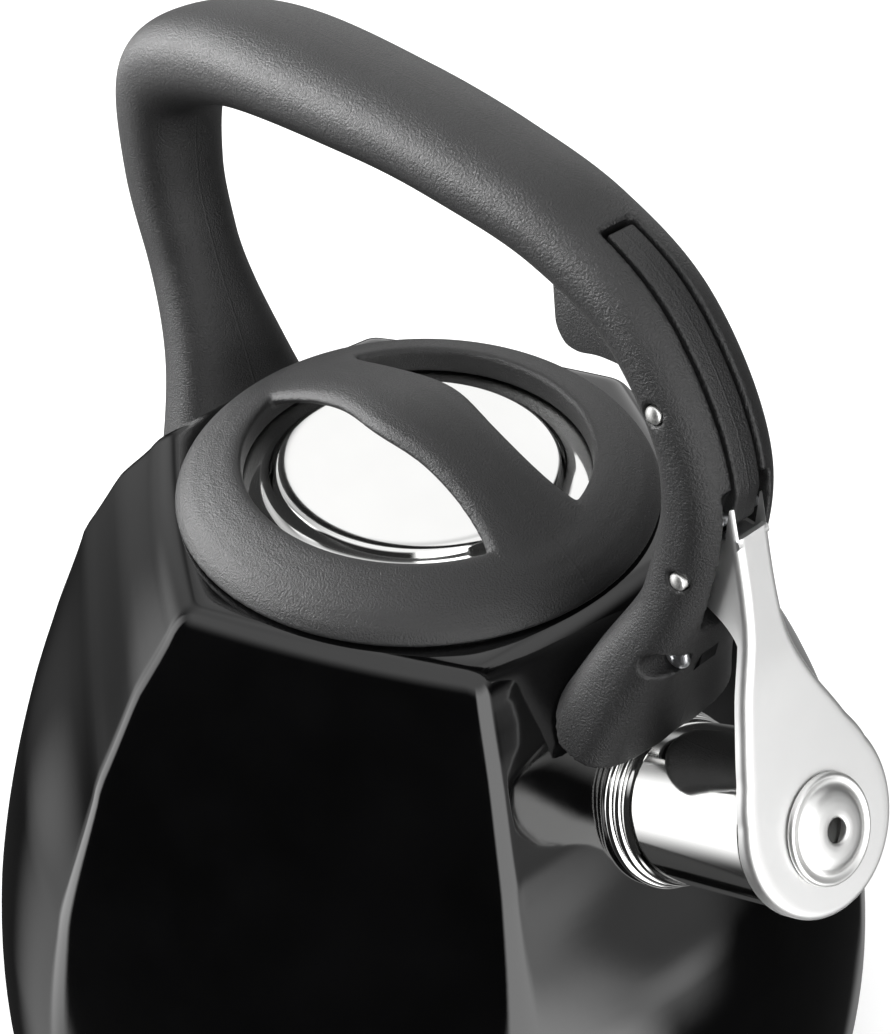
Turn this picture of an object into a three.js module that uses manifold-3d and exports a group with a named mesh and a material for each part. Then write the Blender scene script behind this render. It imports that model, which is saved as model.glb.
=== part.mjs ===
// Stovetop whistling kettle: a hexagonal-shouldered enamelled body, a plastic-and-steel lid, a polished
// spout with a whistling cover, and a fixed arched handle that carries the trigger linkage.
// Units are millimetres. +Z is up, +X is the side the spout points to, and the origin is the middle of
// the flat base. The handle, the spout and the linkage all lie in the XZ plane.

import * as THREE from 'three';
import { mergeVertices } from 'three/addons/utils/BufferGeometryUtils.js';
import Module from 'manifold-3d';

const wasm = await Module();
wasm.setup();

// ---- Driving dimensions --------------------------------------------------------------------------

const RIM = 160;                   // height of the lid ring's lower edge above the base
const GAP = 0.3;                   // play between touching pieces

// Body. Both profiles run down from the rim as [depth, value].
const CORNER_PROFILE = [[1.4, 56.4], [14, 67.3], [30, 78], [60, 90.6], [95, 98.6], [130, 101.8], [146, 100]];
const HEXNESS_PROFILE = [[1.4, 0.8], [20, 0.97], [36, 0.9], [60, 0.42], [95, 0.16], [146, 0]];
const CORNER_FILLET = 0.06;        // fillet of the hexagon's corners, as a share of its corner radius
const BODY_WALL = 1.2;
const BODY_SIDES = 36;
const BODY_DEPTHS = [1.4, 7, 14, 22, 30, 42, 56, 74, 95, 112, 130, 146];
const OPENING_RADIUS = 41.6;       // mouth that the lid drops into
const NECK_DEPTH = 7;              // how far the rolled neck reaches down
const TOP_DEPTH = 0.7;             // depth of the top plate below the lid ring
const LIP_RADIUS = 87.5;           // inner edge of the body's turned-in lower lip
const LIP_HEIGHT = 1.5;

// Spout, a straight tube square to the front facet. Distances along it run back from the whistle face.
const SPOUT_ANGLE = THREE.MathUtils.degToRad(31);
const WHISTLE = new THREE.Vector3(101.4, 0, RIM - 13.9);
const TUBE_RADIUS = 14.4;
const TUBE_WALL = 0.8;
const TUBE_SIDES = 30;
const TUBE_FRONT = 3.6;
const TUBE_BACK = 42;
const COLLAR_FRONT = 32.2;
const COLLAR_BACK = 37.4;

// Lid.
const LID_RADIUS = 47;
const WINDOW_RADIUS = 33.6;
const SKIRT_RADIUS = 41.2;
const SKIRT_DEPTH = 9;
const PAN_WALL = 0.8;
const BRIDGE_TOP = 19.2;           // height of the finger bridge above the rim
const BRIDGE_THICKNESS = 4.2;
const LID_SCREW_X = 36.6;

// Handle. Its centre line is in the XZ plane, as [x, height above the rim].
const HANDLE_LINE = [
  [-60.5, -20], [-64.5, -1.4], [-72.6, 23], [-75.6, 40], [-70.7, 61], [-46.2, 72.5], [-4.2, 75.6], [20, 74.5],
  [40.4, 71.3], [58, 63], [71.7, 42.3], [70.3, 19.3], [64, 0.5], [60, -14],
];
const HANDLE_STEPS = 30;
const HANDLE_SIDES = 16;

// Half sizes of the handle's section, by share of the centre line's length.
const HALF_DEPTHS = [[0, 8.4], [0.34, 9], [0.58, 6.8], [0.72, 6.2], [0.9, 6.5], [1, 7.6]];
const HALF_WIDTHS = [[0, 9.8], [0.2, 10], [0.4, 13], [0.58, 11.2], [0.72, 9.6], [1, 9.8]];
const FOOT_WIDTH = 19.5;           // half width where a leg meets the body
const FOOT_LENGTH = 0.15;          // share of the centre line over which a leg widens

// Foot brackets and their screws.
const BRACKET_SHEET = 4;
const FRONT_SCREW = [71.8, 7.8];   // [x, height above the rim]
const REAR_SCREW = [-67.5, 7];
const SCREW_RADIUS = 1.4;
const SCREW_HEAD = 2.5;
const SCREW_SEAT = 4.8;            // distance of a foot screw's head from the XZ plane

// Trigger linkage.
const TRIGGER_PIVOT = [65.8, 54.2];  // [x, height above the rim]
const COVER_PIVOT = [73.2, 26.6];
const LINK = [75.8, 37.2];
const PIN_RADIUS = 1.5;
const LINK_RADIUS = 1;
const PIN_REACH = 9.9;             // distance of a pin's domed ends from the XZ plane
const LEVER_WIDTH = 5.4;
const SLOT_WIDTH = 6.8;
const NOTCH_WIDTH = 10.4;
const ARM_SHEET = 0.7;

// ---- Geometry helpers ----------------------------------------------------------------------------

// A closed solid from a geometry whose vertices may be repeated and whose faces may point inwards.
function solid(geometry) {
  const bare = geometry.index ? geometry : geometry.clone();
  bare.deleteAttribute('normal');
  bare.deleteAttribute('uv');
  const merged = mergeVertices(bare, 1e-4);
  const points = Float32Array.from(merged.attributes.position.array);
  const corners = [];
  for (let i = 0; i < merged.index.count; i += 3) {
    const [a, b, c] = [0, 1, 2].map((k) => merged.index.getX(i + k));
    if (a !== b && b !== c && c !== a) corners.push(a, b, c);
  }
  if (signedVolume(points, corners) < 0) {
    for (let i = 0; i < corners.length; i += 3) [corners[i], corners[i + 1]] = [corners[i + 1], corners[i]];
  }
  return new wasm.Manifold(new wasm.Mesh({
    numProp: 3, vertProperties: points, triVerts: Uint32Array.from(corners),
  }));
}

function signedVolume(points, corners) {
  const p = [0, 1, 2].map(() => new THREE.Vector3());
  let volume = 0;
  for (let i = 0; i < corners.length; i += 3) {
    p.forEach((v, k) => v.fromArray(points, corners[i + k] * 3));
    volume += p[0].dot(p[1].clone().cross(p[2]));
  }
  return volume;
}

function geometryOf(manifold) {
  const mesh = manifold.getMesh();
  const geometry = new THREE.BufferGeometry();
  geometry.setAttribute('position', new THREE.BufferAttribute(mesh.vertProperties, mesh.numProp));
  geometry.setIndex(new THREE.BufferAttribute(mesh.triVerts, 1));
  geometry.computeVertexNormals();
  return geometry;
}

// Skin over equal rings of points. The last ring joins the first when closed, or the ends are capped.
function loft(rings, closed = false) {
  const count = rings[0].length;
  const points = rings.flat();
  const corners = [];
  const bands = closed ? rings.length : rings.length - 1;
  for (let i = 0; i < bands; i += 1) {
    const [low, high] = [i * count, ((i + 1) % rings.length) * count];
    for (let j = 0; j < count; j += 1) {
      const next = (j + 1) % count;
      corners.push(low + j, low + next, high + next, low + j, high + next, high + j);
    }
  }
  if (!closed) {
    const last = (rings.length - 1) * count;
    for (let j = 1; j < count - 1; j += 1) {
      corners.push(0, j + 1, j, last, last + j, last + j + 1);
    }
  }
  const geometry = new THREE.BufferGeometry();
  geometry.setAttribute('position', new THREE.Float32BufferAttribute(points.flatMap((p) => p.toArray()), 3));
  geometry.setIndex(corners);
  return solid(geometry);
}

// A profile of [radius, height] turned about +Z.
function turned(profile, sides) {
  const outline = profile.map(([r, z]) => new THREE.Vector2(r, z));
  return solid(new THREE.LatheGeometry(outline, sides).rotateX(Math.PI / 2));
}

// A ring-shaped profile, closed on itself, turned about +Z.
const ring = (profile, sides) => turned([...profile, profile[0]], sides);

// A round bar about +Z.
function rod(radius, low, high, sides) {
  return turned([[0, low], [radius, low], [radius, high], [0, high]], sides);
}

// An outline of [x, height above the rim] given thickness along Y.
function slab(outline, width) {
  const shape = new THREE.Shape(outline.map(([x, z]) => new THREE.Vector2(x, RIM + z)));
  const geometry = new THREE.ExtrudeGeometry(shape, { depth: width, bevelEnabled: false });
  return solid(geometry.rotateX(Math.PI / 2).translate(0, width / 2, 0));
}

const moved = (manifold, matrix) => manifold.transform(matrix.elements);

// Turns +Z to +Y and carries the origin to a point of the XZ plane.
const acrossAt = ([x, height]) => new THREE.Matrix4()
  .makeTranslation(x, 0, RIM + height)
  .multiply(new THREE.Matrix4().makeRotationX(-Math.PI / 2));

// Turns +Z to the spout's axis, with the origin at the whistle and local +X pointing down the plate.
const alongSpout = new THREE.Matrix4()
  .makeTranslation(WHISTLE.x, WHISTLE.y, WHISTLE.z)
  .multiply(new THREE.Matrix4().makeRotationY(Math.PI / 2 - SPOUT_ANGLE));

const curveOf = (pairs) => new THREE.SplineCurve(pairs.map(([a, b]) => new THREE.Vector2(a, b)));

// Value of a profile of [position, value] pairs at a position, smoothly joined.
function valueAt(pairs, position) {
  const last = pairs.length - 1;
  if (position <= pairs[0][0]) return pairs[0][1];
  if (position >= pairs[last][0]) return pairs[last][1];
  const i = pairs.findIndex(([p]) => p > position) - 1;
  const share = (position - pairs[i][0]) / (pairs[i + 1][0] - pairs[i][0]);
  return curveOf(pairs).getPoint((i + share) / last).y;
}

// ---- Body ----------------------------------------------------------------------------------------

// Polar radius of a hexagon with unit corner radius and filleted corners at 30 degrees and on.
function hexagonRadius(angle) {
  const sector = Math.PI / 3;
  const fromFace = Math.abs(((angle + sector / 2) % sector + sector) % sector - sector / 2);
  const apothem = Math.cos(sector / 2);
  const centre = 1 - CORNER_FILLET / apothem;
  const tangent = Math.atan2(centre * Math.sin(sector / 2), apothem);
  if (fromFace < tangent) return apothem / Math.cos(fromFace);
  const fromCorner = fromFace - sector / 2;
  return centre * Math.cos(fromCorner) + Math.sqrt(CORNER_FILLET ** 2 - (centre * Math.sin(fromCorner)) ** 2);
}

function bodyRadius(angle, depth) {
  const hexness = valueAt(HEXNESS_PROFILE, depth);
  return valueAt(CORNER_PROFILE, depth) * (1 - hexness * (1 - hexagonRadius(angle)));
}

// One level of the body: a ring at a height, with its radius given by a function of the angle.
function level(depth, radiusAt) {
  return Array.from({ length: BODY_SIDES }, (_, i) => {
    const angle = (i / BODY_SIDES) * Math.PI * 2;
    const radius = radiusAt(angle);
    return new THREE.Vector3(radius * Math.cos(angle), radius * Math.sin(angle), RIM - depth);
  });
}

function facetLevel(depth, inset = 0) {
  return level(depth + inset * 0.5, (angle) => bodyRadius(angle, depth) - inset);
}

const roundLevel = (depth, radius) => level(depth, () => radius);

// The solid upper part of the body, grown by the gap, for whatever stands on it to be cut to.
function grownBody() {
  const top = level(TOP_DEPTH - GAP, (angle) => bodyRadius(angle, 1.4) - 1.2 + GAP);
  const sides = BODY_DEPTHS.filter((depth) => depth < 90);
  return loft([top, ...sides.map((depth) => facetLevel(depth, -GAP * 1.3))]);
}

function bodyShell() {
  const outside = BODY_DEPTHS.map((depth) => facetLevel(depth)).reverse();
  const inside = [1.4, 14, 30, 56, 95, 146].map((depth) => facetLevel(depth, BODY_WALL));
  const chine = (inset) => [20, 45, 70].map((degrees) => {
    const turn = THREE.MathUtils.degToRad(degrees);
    const reach = CORNER_PROFILE.at(-1)[1] - LIP_RADIUS;
    return roundLevel(
      146 + (RIM - LIP_HEIGHT - 146 - inset) * Math.sin(turn),
      LIP_RADIUS + (reach - inset) * Math.cos(turn),
    );
  });
  const lip = (height) => roundLevel(RIM - height, LIP_RADIUS);
  const rings = [
    lip(LIP_HEIGHT), ...chine(0).reverse(), ...outside,
    level(TOP_DEPTH, (angle) => bodyRadius(angle, 1.4) - 1.2),
    roundLevel(TOP_DEPTH, OPENING_RADIUS + 1.2),
    roundLevel(TOP_DEPTH + 1, OPENING_RADIUS),
    roundLevel(NECK_DEPTH, OPENING_RADIUS),
    roundLevel(NECK_DEPTH, OPENING_RADIUS + BODY_WALL),
    roundLevel(TOP_DEPTH + BODY_WALL, OPENING_RADIUS + BODY_WALL),
    level(TOP_DEPTH + BODY_WALL, (angle) => bodyRadius(angle, 1.4) - 2.2),
    ...inside, ...chine(BODY_WALL), lip(LIP_HEIGHT + BODY_WALL),
  ];
  const bore = moved(rod(TUBE_RADIUS + GAP, -60, -20, TUBE_SIDES), alongSpout);
  return loft(rings, true).subtract(bore);
}

// The bottom plate nests inside the body's turned-in lip, with its edge turned up.
function basePan() {
  const edge = LIP_RADIUS - GAP;
  return turned([[0, 0], [edge - 4, 0], [edge, 1.6], [edge, 8], [edge - 1.2, 8], [edge - 1.2, 2.6],
    [edge - 4.6, 1.2], [0, 1.2]], BODY_SIDES);
}

// ---- Spout ---------------------------------------------------------------------------------------

function spoutTube() {
  const bore = TUBE_RADIUS - TUBE_WALL;
  const lip = TUBE_RADIUS + 0.7;
  const profile = [[TUBE_RADIUS, -TUBE_BACK], [TUBE_RADIUS, -TUBE_FRONT - 2], [lip, -TUBE_FRONT - 0.9],
    [lip, -TUBE_FRONT - 0.2], [TUBE_RADIUS, -TUBE_FRONT], [bore, -TUBE_FRONT - 0.6], [bore, -TUBE_BACK]];
  return moved(ring(profile, TUBE_SIDES), alongSpout);
}

// Three rolled beads, the widest against the body.
function spoutCollar() {
  const inner = TUBE_RADIUS + GAP;
  const length = (COLLAR_BACK - COLLAR_FRONT) / 3;
  const beads = [16.4, 15.8, 15.3].flatMap((radius, i) => {
    const back = -COLLAR_BACK + i * length;
    return [[radius - 0.6, back + 0.05], [radius, back + length * 0.35], [radius, back + length * 0.7]];
  });
  const collar = ring([[inner, -COLLAR_BACK], ...beads, [inner, -COLLAR_FRONT]], TUBE_SIDES);
  return moved(collar, alongSpout).subtract(grownBody());
}

// ---- Lid -----------------------------------------------------------------------------------------

function lidPan() {
  const brim = 2.4;
  const wall = SKIRT_RADIUS - PAN_WALL;
  const dome = [[0, 5.6], [14, 5.5], [24, 5.1], [27.6, 4.4], [29.6, 2.7], [31, 2.4]];
  const inside = dome.map(([r, z]) => [r, z - PAN_WALL]).reverse();
  const profile = [...dome, [SKIRT_RADIUS - 1, brim], [SKIRT_RADIUS, brim - 1], [SKIRT_RADIUS, -SKIRT_DEPTH],
    [wall, -SKIRT_DEPTH], [wall, brim - PAN_WALL], ...inside];
  const holes = [-LID_SCREW_X, LID_SCREW_X].map((x) => rod(2 + GAP, -3, 5, 12).translate([x, 0, 0]));
  return holes.reduce((pan, hole) => pan.subtract(hole), turned(profile, 36)).translate([0, 0, RIM]);
}

// Height of the middle of the bridge's top face above the rim.
const bridgeHeight = (x) => 5.4 + (BRIDGE_TOP - 5.4) * Math.cos((x / 43) * (Math.PI / 2)) ** 1.15;

// Half width of the bridge: waisted either side of the middle and flared into the ring.
const bridgeWidth = (x) => 8.4 + 1.6 * Math.exp(-((x / 9) ** 2)) + 5 * (Math.abs(x) / 36) ** 5;

// The ring and the bridge are one moulding.
function lidRing() {
  const floor = 2.4 + GAP;
  const profile = [[WINDOW_RADIUS, floor], [WINDOW_RADIUS, 7.6], [34.4, 8.3], [36.6, 7.9], [40, 6.6],
    [43.4, 4.7], [45.8, 2.4], [LID_RADIUS, 0.3], [LID_RADIUS - 0.4, -0.4], [42.4, -0.4],
    [SKIRT_RADIUS + GAP, floor]];
  const sections = [];
  for (let x = -38; x <= 38; x += 4) {
    const [top, half] = [bridgeHeight(x), bridgeWidth(x)];
    const under = Math.max(top - BRIDGE_THICKNESS, Math.abs(x) > WINDOW_RADIUS - 1 ? floor : -9);
    const section = [[-half, under + 1.2], [-half + 1.2, under], [half - 1.2, under], [half, under + 1.2],
      [half, top - 2.6], [half - 1.4, top - 1.1], [half / 2, top - 0.3], [0, top], [-half / 2, top - 0.3],
      [-half + 1.4, top - 1.1], [-half, top - 2.6]];
    sections.push(section.map(([y, z]) => new THREE.Vector3(x, y, z)));
  }
  const bores = [-LID_SCREW_X, LID_SCREW_X].map((x) => rod(1.6 + GAP, -2, 6.2, 12).translate([x, 0, 0]));
  const moulding = ring(profile, 36).add(loft(sections));
  return bores.reduce((body, bore) => body.subtract(bore), moulding).translate([0, 0, RIM]);
}

// Pan-head screw driven up through the pan into the bridge's foot.
function lidScrew(x) {
  const head = 2.4 - PAN_WALL - GAP;
  const screw = turned([[0, head - 1.8], [2.2, head - 1.8], [3.2, head - 0.8], [3.2, head], [1.6, head],
    [1.6, 5.8], [0, 5.8]], 12);
  const slot = solid(new THREE.BoxGeometry(0.8, 4.6, 1).translate(0, 0, head - 1.8));
  const cross = slot.add(solid(new THREE.BoxGeometry(4.6, 0.8, 1).translate(0, 0, head - 1.8)));
  return screw.subtract(cross).translate([x, 0, RIM]);
}

// ---- Handle --------------------------------------------------------------------------------------

const handleCurve = new THREE.CatmullRomCurve3(HANDLE_LINE.map(([x, z]) => new THREE.Vector3(x, 0, RIM + z)));

// Share of the way from grip to foot: 0 along the grip, 1 at either end of the handle.
function footShare(u) {
  const near = Math.max(0, 1 - Math.min(u, 1 - u) / FOOT_LENGTH);
  return near ** 1.7;
}

// A rounded section across the handle at a share u of its length.
function handleSection(u) {
  const centre = handleCurve.getPointAt(u);
  const tangent = handleCurve.getTangentAt(u);
  const outward = new THREE.Vector3(-tangent.z, 0, tangent.x);
  const half = valueAt(HALF_DEPTHS, u) + 1.6 * footShare(u);
  const grip = valueAt(HALF_WIDTHS, u);
  const width = grip + (FOOT_WIDTH - grip) * footShare(u);
  const roundness = 2 / (2.3 + 0.9 * footShare(u));
  return Array.from({ length: HANDLE_SIDES }, (_, i) => {
    const angle = (i / HANDLE_SIDES) * Math.PI * 2;
    const [c, s] = [Math.cos(angle), Math.sin(angle)];
    const out = Math.sign(c) * Math.abs(c) ** roundness * half;
    const across = Math.sign(s) * Math.abs(s) ** roundness * width;
    return centre.clone().addScaledVector(outward, out).add(new THREE.Vector3(0, across, 0));
  });
}

// Points along the handle's outer face, pushed inwards by an inset, as [x, height above the rim].
function outerFace(from, to, inset, steps) {
  return Array.from({ length: steps + 1 }, (_, i) => {
    const u = from + ((to - from) * i) / steps;
    const centre = handleCurve.getPointAt(u);
    const tangent = handleCurve.getTangentAt(u);
    const reach = valueAt(HALF_DEPTHS, u) - inset;
    return [centre.x - tangent.z * reach, centre.z + tangent.x * reach - RIM];
  });
}

// The body and the spout collar grown by the gap, for the handle's feet to be cut to.
function bodyClearance() {
  const collar = moved(rod(16.4 + 0.5, -COLLAR_BACK - 2, -COLLAR_FRONT + 0.5, TUBE_SIDES), alongSpout);
  const tube = moved(rod(TUBE_RADIUS + 0.8, -COLLAR_BACK, -TUBE_FRONT, TUBE_SIDES), alongSpout);
  return grownBody().add(collar).add(tube);
}

// Shares of the centre line where the lever's groove starts and where the lever ends.
const SLOT_FROM = 0.681;
const LEVER_TO = 0.812;

// The groove that the lever lies in, open to the underside of the handle above the trigger.
function leverSlot() {
  const start = SLOT_FROM - 0.003;
  return slab([
    ...outerFace(start, LEVER_TO, -6, 12), [90, 34], [67.6, 34], [67.6, 44], [63, 50.5], [58, 52], [56, 44],
    [35.6, 44], [35.6, 70], [41, 70], [52.5, 65.5], ...outerFace(start, SLOT_FROM + 0.02, 4.6, 2).reverse(),
  ], SLOT_WIDTH);
}

// The wider well that the cover's arm swings in.
function armWell() {
  const outline = [[90, 46], [90, 12.4], [80, 12.9], [73.4, 17.1], [67, 23.1], [66.6, 43], [73.4, 43]];
  return slab(outline, NOTCH_WIDTH);
}


// Each bracket is a thick tab standing on its facet inside the handle's foot.
const FRONT_TAB = [
  [54.6, -7.7], [60.2, -16.8], [66, -9], [73.6, 4.2], [74.3, 9.6], [70, 11.6], [65.5, 8],
];
const REAR_TAB = [
  [-54.6, -7.7], [-60.2, -16.8], [-65, -9], [-71.5, 5.5], [-71, 10.6], [-66.5, 11.6], [-63, 7.5],
];

// An outline pushed outwards from its middle by about a distance.
function grown(outline, distance) {
  const points = outline.map(([x, z]) => new THREE.Vector2(x, z));
  const middle = points.reduce((sum, p) => sum.addScaledVector(p, 1 / points.length), new THREE.Vector2());
  return points.map((p) => {
    const arm = p.clone().sub(middle);
    return p.clone().addScaledVector(arm.normalize(), distance).toArray();
  });
}

function handle() {
  const rings = Array.from({ length: HANDLE_STEPS + 1 }, (_, i) => handleSection(i / HANDLE_STEPS));
  const pinHoles = [TRIGGER_PIVOT, COVER_PIVOT].map((at) => (
    moved(rod(PIN_RADIUS + GAP, -30, 30, 16), acrossAt(at))));
  const screwHoles = [[FRONT_SCREW, -1], [REAR_SCREW, 1]].flatMap(([at, side]) => [
    moved(rod(SCREW_RADIUS + GAP, -4, 20, 12), sideOf(at, side)),
    moved(rod(SCREW_HEAD + GAP, SCREW_SEAT, 30, 16), sideOf(at, side)),
  ]);
  const tabSlots = [FRONT_TAB, REAR_TAB].map((tab) => slab(grown(tab, 0.8), BRACKET_SHEET + 2 * GAP));
  const footSlots = [[FRONT_TAB, 1], [REAR_TAB, -1]].map(([tab, side]) => footPlate(tab, side, 0.8));
  const fittings = [...pinHoles, ...screwHoles, ...tabSlots, ...footSlots];
  const cuts = [bodyClearance(), leverSlot(), armWell(), ...fittings];
  return cuts.reduce((body, cut) => body.subtract(cut), loft(rings));
}

// Like acrossAt, with local +Z pointing to +Y (side 1) or to -Y (side -1).
function sideOf(at, side) {
  return acrossAt(at).multiply(new THREE.Matrix4().makeRotationX(side > 0 ? 0 : Math.PI));
}

// The plate that spreads a bracket's foot over its facet, grown by a margin.
function footPlate(tab, side, margin = 0) {
  const plate = solid(new THREE.BoxGeometry(11 + 2 * margin, 12 + 2 * margin, 3 + 2 * margin));
  const lean = new THREE.Matrix4().makeRotationY(side * (Math.PI / 2 - SPOUT_ANGLE));
  const [x, z] = [(tab[0][0] + tab[1][0]) / 2, (tab[0][1] + tab[1][1]) / 2];
  return moved(plate, new THREE.Matrix4().makeTranslation(x, 0, RIM + z).multiply(lean));
}

function bracket(tab, at, side) {
  const hole = moved(rod(SCREW_RADIUS + GAP, -10, 10, 12), acrossAt(at));
  return slab(tab, BRACKET_SHEET).add(footPlate(tab, side)).subtract(bodyClearance()).subtract(hole);
}

function footScrew(at, side) {
  const [radius, seat] = [SCREW_RADIUS, SCREW_SEAT + GAP];
  const profile = [[0, -2.2], [radius, -1.4], [radius, seat], [SCREW_HEAD, seat], [SCREW_HEAD, seat + 0.9],
    [SCREW_HEAD - 0.9, seat + 1.6], [0, seat + 1.6]];
  const screw = turned(profile, 12);
  const bar = (length, width) => solid(new THREE.BoxGeometry(length, width, 1.8).translate(0, 0, seat + 1.6));
  return moved(screw.subtract(bar(3, 0.7).add(bar(0.7, 3))), sideOf(at, side));
}

// ---- Trigger linkage -----------------------------------------------------------------------------

function triggerLever() {
  const outline = [
    ...outerFace(SLOT_FROM, LEVER_TO, 0.4, 12),
    [77.4, 38.8], [77.3, 35.6], [74.4, 35.5], [73.1, 41.4], [71, 47.4], [68.2, 50.8], [64.2, 50.9],
    [61, 52.6], [56.5, 53.6], [51.9, 53.4], [47.8, 52.9], [43.7, 51.5], [40.8, 51.6],
    [38.4, 54.2], [37.2, 64.2], [44, 62.5], [54.5, 60.6], [57.2, 66],
    ...outerFace(SLOT_FROM, SLOT_FROM + 0.02, 4, 2).reverse(),
  ];
  const hole = moved(rod(PIN_RADIUS + GAP, -10, 10, 20), acrossAt(TRIGGER_PIVOT));
  const link = moved(rod(LINK_RADIUS + GAP, -10, 10, 16), acrossAt(LINK));
  return slab(outline, LEVER_WIDTH).subtract(hole).subtract(link);
}

// A pin through both cheeks, with domed ends.
function pin(at) {
  const half = [[PIN_RADIUS, PIN_REACH - 0.7], [PIN_RADIUS * 0.8, PIN_REACH - 0.2], [0, PIN_REACH]];
  const mirror = half.map(([radius, z]) => [radius, -z]).reverse();
  return moved(turned([...mirror, ...half], 16), acrossAt(at));
}

const linkPin = () => moved(rod(LINK_RADIUS, -4.4, 4.4, 20), acrossAt(LINK));

// The arm's front face runs up from the whistle, s millimetres along it, and bends back near the pivot.
const ARM_BOTTOM = -14.7;
const ARM_TOP = 59.4;
const ARM_WIDTHS = [[9, 15.16], [15, 12.6], [25, 8.4], [35, 4.9], [44, 3.9], [60, 3.9]];
const FLANGE_DEPTHS = [
  [-20, 3.2], [4, 2.8], [14, 1.6], [34, 1.6], [38, 4.6],
  [42.5, 10.6], [49, 10.8], [53, 6], [56, 5.4], [60, 5],
];
const ARM_STEP = 1;

function armFrames() {
  const frames = [];
  const topTilt = THREE.MathUtils.degToRad(17);
  const tiltAt = (s) => THREE.MathUtils.lerp(SPOUT_ANGLE, topTilt, THREE.MathUtils.smoothstep(s, 20, 34));
  const up = (tilt) => new THREE.Vector3(-Math.sin(tilt), 0, Math.cos(tilt));
  let at = WHISTLE.clone().addScaledVector(up(SPOUT_ANGLE), ARM_BOTTOM - 2);
  for (let s = ARM_BOTTOM - 2; s <= ARM_TOP + 8; s += ARM_STEP / 4) {
    const tilt = tiltAt(s);
    frames.push({ s, at: at.clone(), out: new THREE.Vector3(Math.cos(tilt), 0, Math.sin(tilt)) });
    at = at.clone().addScaledVector(up(tilt), ARM_STEP / 4);
  }
  return frames;
}

const ARM_FRAMES = armFrames();
const armFrame = (s) => ARM_FRAMES[Math.round((s - ARM_BOTTOM + 2) / (ARM_STEP / 4))];

function armHalfWidth(s) {
  const [centre, radius] = [2, 16.7];
  return s < 9 ? Math.sqrt(Math.max(0.04, radius ** 2 - (s - centre) ** 2)) : valueAt(ARM_WIDTHS, s);
}

// A solid bar that follows the arm between two stations, from the front face by `front` to a depth.
function armBar(stations, inset, front, depthAt) {
  return loft(stations.map((s) => {
    const { at, out } = armFrame(s);
    const half = Math.max(0.1, armHalfWidth(s) - inset);
    const corner = (y, n) => at.clone().addScaledVector(out, n).add(new THREE.Vector3(0, y, 0));
    return [corner(-half, front), corner(half, front), corner(half, -depthAt(s)), corner(-half, -depthAt(s))];
  }));
}

function coverArm() {
  const disc = [-14.7, -14, -12.9, -11.4, -9.4, -7, -4, -1, 2, 5.5, 9];
  const neck = [12, 15, 19, 23, 27, 31, 35, 39, 42.5, 46, 49, 53, 56, ARM_TOP];
  const outer = armBar([...disc, ...neck], 0, 0, (s) => valueAt(FLANGE_DEPTHS, s));
  const hollow = armBar([...disc.slice(1), ...neck, ARM_TOP + 4], ARM_SHEET, -ARM_SHEET, () => 24);
  const forkGap = armBar([54.2, 58, ARM_TOP + 4], ARM_SHEET, 3, () => 24);
  const curl = armFrame(53.2);
  const curlAt = curl.at.clone().addScaledVector(curl.out, -0.9);
  const bar = moved(rod(0.85, -3.6, 3.6, 16), acrossAt([curlAt.x, curlAt.z - RIM]));
  const whistleHole = moved(rod(7.4 + GAP, -6, 6, 36), alongSpout);
  const pinHole = moved(rod(PIN_RADIUS + GAP, -10, 10, 24), acrossAt(COVER_PIVOT));
  const fork = [[74.4, 34.2], [75.2, 33.4], [76.5, 33.4], [77.3, 34.2], [77.3, 45.4], [74.4, 45.4]];
  const cuts = [whistleHole, pinHole, slab(fork, 20)];
  return cuts.reduce((arm, cut) => arm.subtract(cut), outer.subtract(hollow).subtract(forkGap).add(bar));
}

// Torsion spring on the cover's pin. One leg stands in the well, the other pushes the arm shut.
function coverSpring() {
  const [radius, wire, halfLength] = [3, 0.42, 2.3];
  const [start, end] = [THREE.MathUtils.degToRad(30), THREE.MathUtils.degToRad(180 + 360 * 3)];
  const point = (angle, y, along = 0) => new THREE.Vector3(
    COVER_PIVOT[0] + radius * Math.cos(angle) - along * Math.sin(angle), y,
    RIM + COVER_PIVOT[1] + radius * Math.sin(angle) + along * Math.cos(angle),
  );
  const turns = Array.from({ length: 37 }, (_, i) => {
    const share = i / 36;
    return point(start + (end - start) * share, halfLength * (2 * share - 1));
  });
  const path = new THREE.CatmullRomCurve3([
    point(start, -halfLength, -9), point(start, -halfLength, -3), ...turns, point(end, halfLength, 4.6),
  ]);
  const section = new THREE.Shape(Array.from({ length: 6 }, (_, i) => (
    new THREE.Vector2(wire * Math.cos((i * Math.PI) / 3), wire * Math.sin((i * Math.PI) / 3)))));
  return solid(new THREE.ExtrudeGeometry(section, { steps: 48, extrudePath: path, bevelEnabled: false }));
}

// ---- Whistle -------------------------------------------------------------------------------------

const WHISTLE_BORE = 2.1;

// A ring-shaped profile turned about the spout's axis.
const spoutRing = (profile) => moved(ring(profile, 30), alongSpout);

const whistleFront = () => spoutRing([
  [WHISTLE_BORE, 1.5], [WHISTLE_BORE, 2.1], [3.4, 2.4], [5.6, 2.2], [7, 1.5], [8.2, 1], [9.4, 1.1],
  [9.4, GAP], [7.6, GAP], [6.8, 0.8], [5.4, 1.5],
]);

const whistleBarrel = () => spoutRing([[6.4, -3], [7.4, -3], [7.4, 0], [6.4, 0]]);

const whistleBack = () => spoutRing([[WHISTLE_BORE, -4.1], [7.4, -4.1], [7.4, -3.3], [WHISTLE_BORE, -3.3]]);

// The plate that closes on the spout's lip.
const spoutSeal = () => spoutRing([
  [7.7, -1], [13.6, -1], [13.6, -2.6], [12.8, -3.3], [11.6, -3.3], [10.8, -2], [7.7, -2],
]);

// ---- Assembly ------------------------------------------------------------------------------------

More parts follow.
